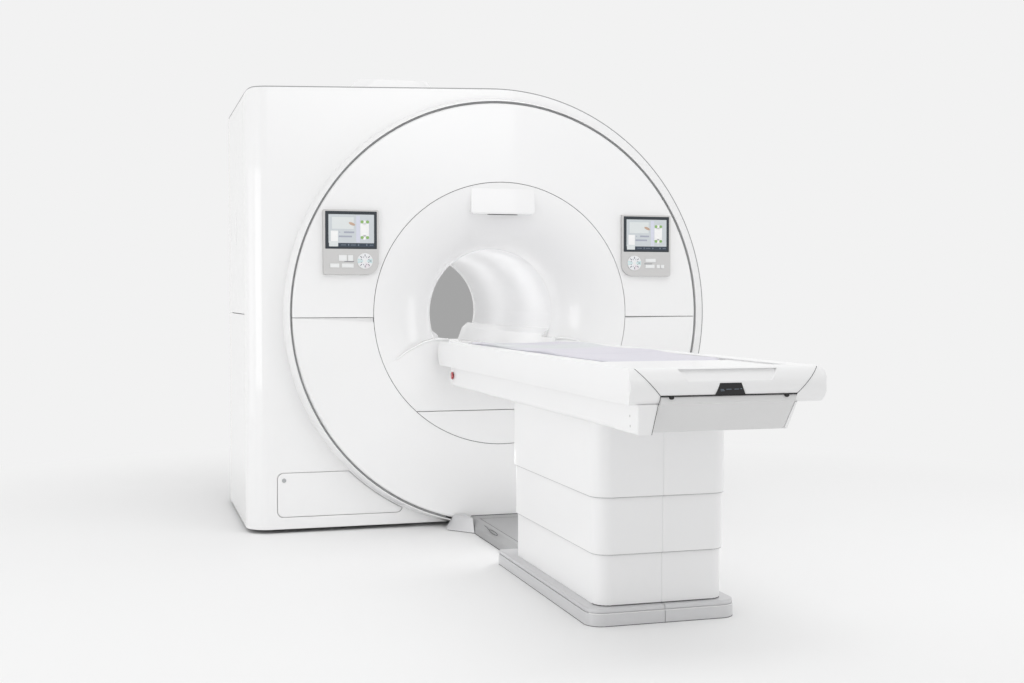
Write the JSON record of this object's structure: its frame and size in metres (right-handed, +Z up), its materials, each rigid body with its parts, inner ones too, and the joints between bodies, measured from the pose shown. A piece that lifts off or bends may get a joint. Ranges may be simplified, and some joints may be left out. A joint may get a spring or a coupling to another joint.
{
  "type": "mri scanner",
  "caption": "Closed-bore magnetic resonance scanner: boxy gantry with a round front disc and funnel, and a lifting patient table with a sliding cradle.",
  "frame": {"origin": "on the floor under the middle of the magnet, on the bore's axis seen from above", "axes": "+Y along the patient bore from the table's side to the rear, +X to the right seen from the table, +Z up"},
  "size_m": [2.402, 4.5365, 2.326],
  "materials": {
    "shell_white": "semi-gloss",
    "joint_grey": "matt",
    "display_black": "polished, backlit",
    "housing_silver": "satin",
    "key_white": "satin",
    "stop_red": "semi-gloss",
    "base_aluminium": "brushed, clear anodised",
    "floor_plate": "textured",
    "lift_steel": "satin",
    "mattress_fabric": "smooth coated cover",
    "liner_white": "satin",
    "coil_resin": "cast resin",
    "copper": "bare copper",
    "vessel_steel": "ground stainless steel",
    "frame_grey": "satin",
    "drive_dark": "satin",
    "window_dark": "polished"
  },
  "bodies": {
    "gantry": {"front_cover": "shell_white", "disc_joint_seal": "joint_grey", "disc_cover_upper": "shell_white", "disc_cover_lower": "shell_white", "bore_funnel": "shell_white", "apron_cover": "shell_white", "lower_front_panel": "shell_white", "laser_visor": "shell_white", "laser_window": "window_dark", "bore_liner": "liner_white", "body_coil": "copper", "gradient_coil": "coil_resin", "magnet_vessel": "vessel_steel", "magnet_coils": "copper", "cold_head": "vessel_steel", "turret_cover": "shell_white", "roof_cover": "shell_white", "left_upper_cover": "shell_white", "left_lower_cover": "shell_white", "right_cover": "shell_white", "rear_cover": "shell_white", "rear_funnel": "shell_white", "bore_bridge": "shell_white", "cover_frame": "frame_grey", "service_hatch": "shell_white", "left_panel_housing": "housing_silver", "left_display": "display_black", "right_panel_housing": "housing_silver", "right_display": "display_black", "table_base": "base_aluminium", "floor_bridge": "floor_plate", "bridge_brackets": "base_aluminium", "lower_tier_cover": "shell_white", "lift_column": "lift_steel"},
    "lift_middle": {"middle_tier_cover": "shell_white", "lift_stage": "lift_steel"},
    "table_top": {"upper_tier_cover": "shell_white", "lift_ram": "lift_steel", "table_frame": "shell_white", "rail_cover_left": "shell_white", "rail_cover_right": "shell_white", "foot_cover": "shell_white", "foot_under_cover": "shell_white", "foot_display": "display_black", "cradle_drive": "drive_dark"},
    "sliding_cradle": {"cradle": "shell_white", "mattress": "mattress_fabric"},
    "stop_plunger": {"stop_button": "stop_red"},
    "hatch_lock_body": {"hatch_lock": "lift_steel"},
    "left_dial_body": {"left_dial": "key_white"},
    "right_dial_body": {"right_dial": "key_white"},
    "left_key_1_body": {"left_key_1": "key_white"},
    "left_key_2_body": {"left_key_2": "key_white"},
    "left_key_3_body": {"left_key_3": "key_white"},
    "left_key_4_body": {"left_key_4": "key_white"},
    "right_key_1_body": {"right_key_1": "key_white"},
    "right_key_2_body": {"right_key_2": "key_white"},
    "right_key_3_body": {"right_key_3": "key_white"},
    "right_key_4_body": {"right_key_4": "key_white"}
  },
  "joints": [
    {"name": "table_lift", "type": "slide", "parent": "gantry", "child": "table_top", "axis": [0, 0, 1], "range_m": [-0.36, 0]},
    {"name": "lift_middle_slide", "type": "slide", "parent": "gantry", "child": "lift_middle", "axis": [0, 0, 1], "range_m": [-0.18, 0]},
    {"name": "cradle_slide", "type": "slide", "parent": "table_top", "child": "sliding_cradle", "axis": [0, 1, 0], "range_m": [0, 1.7]},
    {"name": "stop_push", "type": "slide", "parent": "table_top", "child": "stop_plunger", "axis": [1, 0, 0], "range_m": [0, 0.004], "stiffness_N_per_m": 1200},
    {"name": "hatch_lock_turn", "type": "hinge", "parent": "gantry", "child": "hatch_lock_body", "pos_m": [-1.087, -0.88, 0.259], "axis": [0, 1, 0], "range_deg": [0, 90]},
    {"name": "left_dial_turn", "type": "hinge", "parent": "gantry", "child": "left_dial_body", "pos_m": [-0.703, -0.975, 1.332], "axis": [0, 1, 0], "continuous": true},
    {"name": "right_dial_turn", "type": "hinge", "parent": "gantry", "child": "right_dial_body", "pos_m": [0.703, -0.975, 1.332], "axis": [0, 1, 0], "continuous": true},
    {"name": "left_key_1_push", "type": "slide", "parent": "gantry", "child": "left_key_1_body", "axis": [0, 1, 0], "range_m": [0, 0.0015], "stiffness_N_per_m": 300},
    {"name": "left_key_2_push", "type": "slide", "parent": "gantry", "child": "left_key_2_body", "axis": [0, 1, 0], "range_m": [0, 0.0015], "stiffness_N_per_m": 300},
    {"name": "left_key_3_push", "type": "slide", "parent": "gantry", "child": "left_key_3_body", "axis": [0, 1, 0], "range_m": [0, 0.0015], "stiffness_N_per_m": 300},
    {"name": "left_key_4_push", "type": "slide", "parent": "gantry", "child": "left_key_4_body", "axis": [0, 1, 0], "range_m": [0, 0.0015], "stiffness_N_per_m": 300},
    {"name": "right_key_1_push", "type": "slide", "parent": "gantry", "child": "right_key_1_body", "axis": [0, 1, 0], "range_m": [0, 0.0015], "stiffness_N_per_m": 300},
    {"name": "right_key_2_push", "type": "slide", "parent": "gantry", "child": "right_key_2_body", "axis": [0, 1, 0], "range_m": [0, 0.0015], "stiffness_N_per_m": 300},
    {"name": "right_key_3_push", "type": "slide", "parent": "gantry", "child": "right_key_3_body", "axis": [0, 1, 0], "range_m": [0, 0.0015], "stiffness_N_per_m": 300},
    {"name": "right_key_4_push", "type": "slide", "parent": "gantry", "child": "right_key_4_body", "axis": [0, 1, 0], "range_m": [0, 0.0015], "stiffness_N_per_m": 300}
  ],
  "couplings": [
    {"joint": "lift_middle_slide", "follows": "table_lift", "ratio": 0.5}
  ]
}
